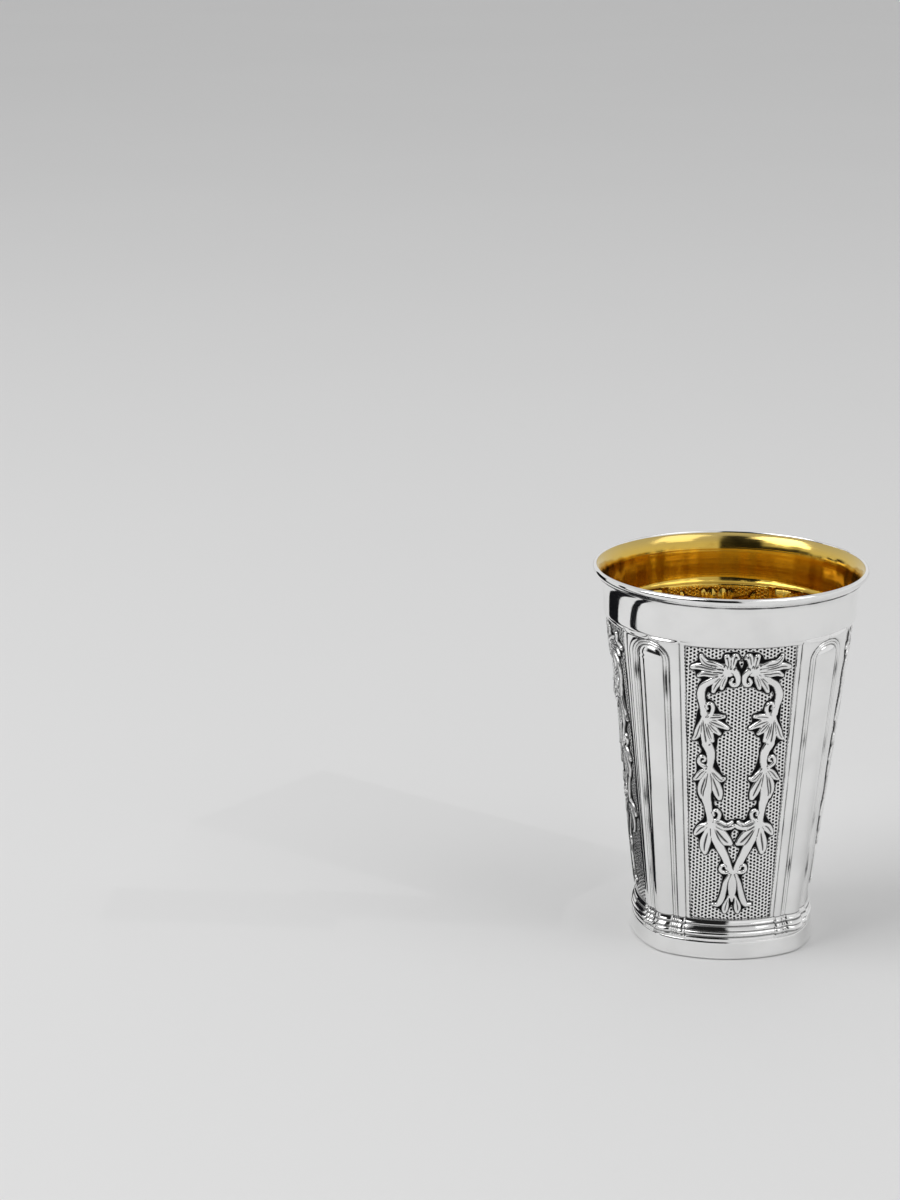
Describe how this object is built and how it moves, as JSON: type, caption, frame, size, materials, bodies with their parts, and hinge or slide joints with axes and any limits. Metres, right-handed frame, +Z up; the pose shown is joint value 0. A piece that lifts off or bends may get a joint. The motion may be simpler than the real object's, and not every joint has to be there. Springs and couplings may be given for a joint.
{
  "type": "kiddush cup",
  "caption": "Tapered footless silver beaker with stippled leaf panels, convex flutes, a plain band under a flared lip, a beaded soft-square foot ring and a gilded inside.",
  "frame": {"origin": "centre of the foot ring's underside, on the surface that the cup stands on", "axes": "+Z up through the middle of the mouth, -Y out of the front leaf panel"},
  "size_m": [0.064, 0.064, 0.09],
  "materials": {
    "silver": "polished silver, dark oxide in the chased ground",
    "gilding": "polished gold plating on the inside"
  },
  "bodies": {
    "root": {"cup": "silver"}
  },
  "joints": []
}
